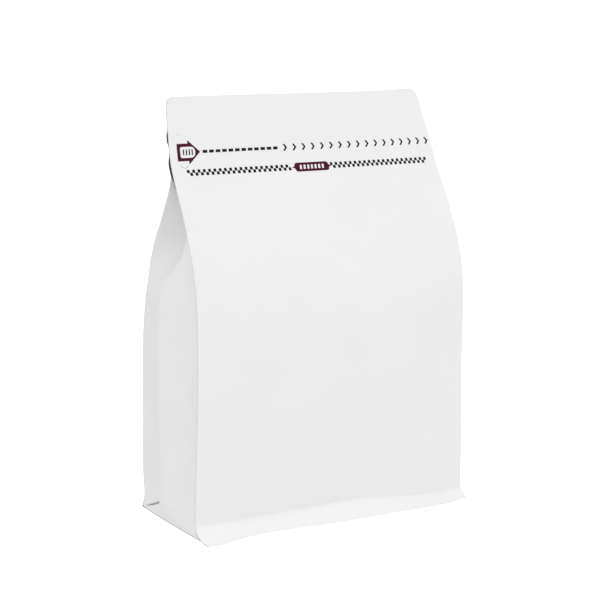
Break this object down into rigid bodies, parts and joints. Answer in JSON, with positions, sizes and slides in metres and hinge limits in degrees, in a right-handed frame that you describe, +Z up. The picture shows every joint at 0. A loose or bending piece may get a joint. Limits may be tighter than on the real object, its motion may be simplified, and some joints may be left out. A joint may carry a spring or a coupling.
{
  "type": "stand-up pouch",
  "caption": "Filled flat-bottom paper pouch with side gussets, a flared base flange, a leaning sealed header and a printed tear-off opening strip.",
  "frame": {"origin": "on the table, under the middle of the pouch's box", "axes": "+Z up, -Y out of the front panel, -X towards the pull tab's end"},
  "size_m": [0.1458, 0.0712, 0.19],
  "materials": {
    "white_paper": "matt white paper laminate with a faint grain",
    "black_print": "flat black printing ink on paper",
    "maroon_print": "flat dark maroon printing ink on paper",
    "foil_lining": "pale film lining at the cut edges and inside the folds"
  },
  "bodies": {
    "root": {"pouch": "white_paper"}
  },
  "joints": []
}
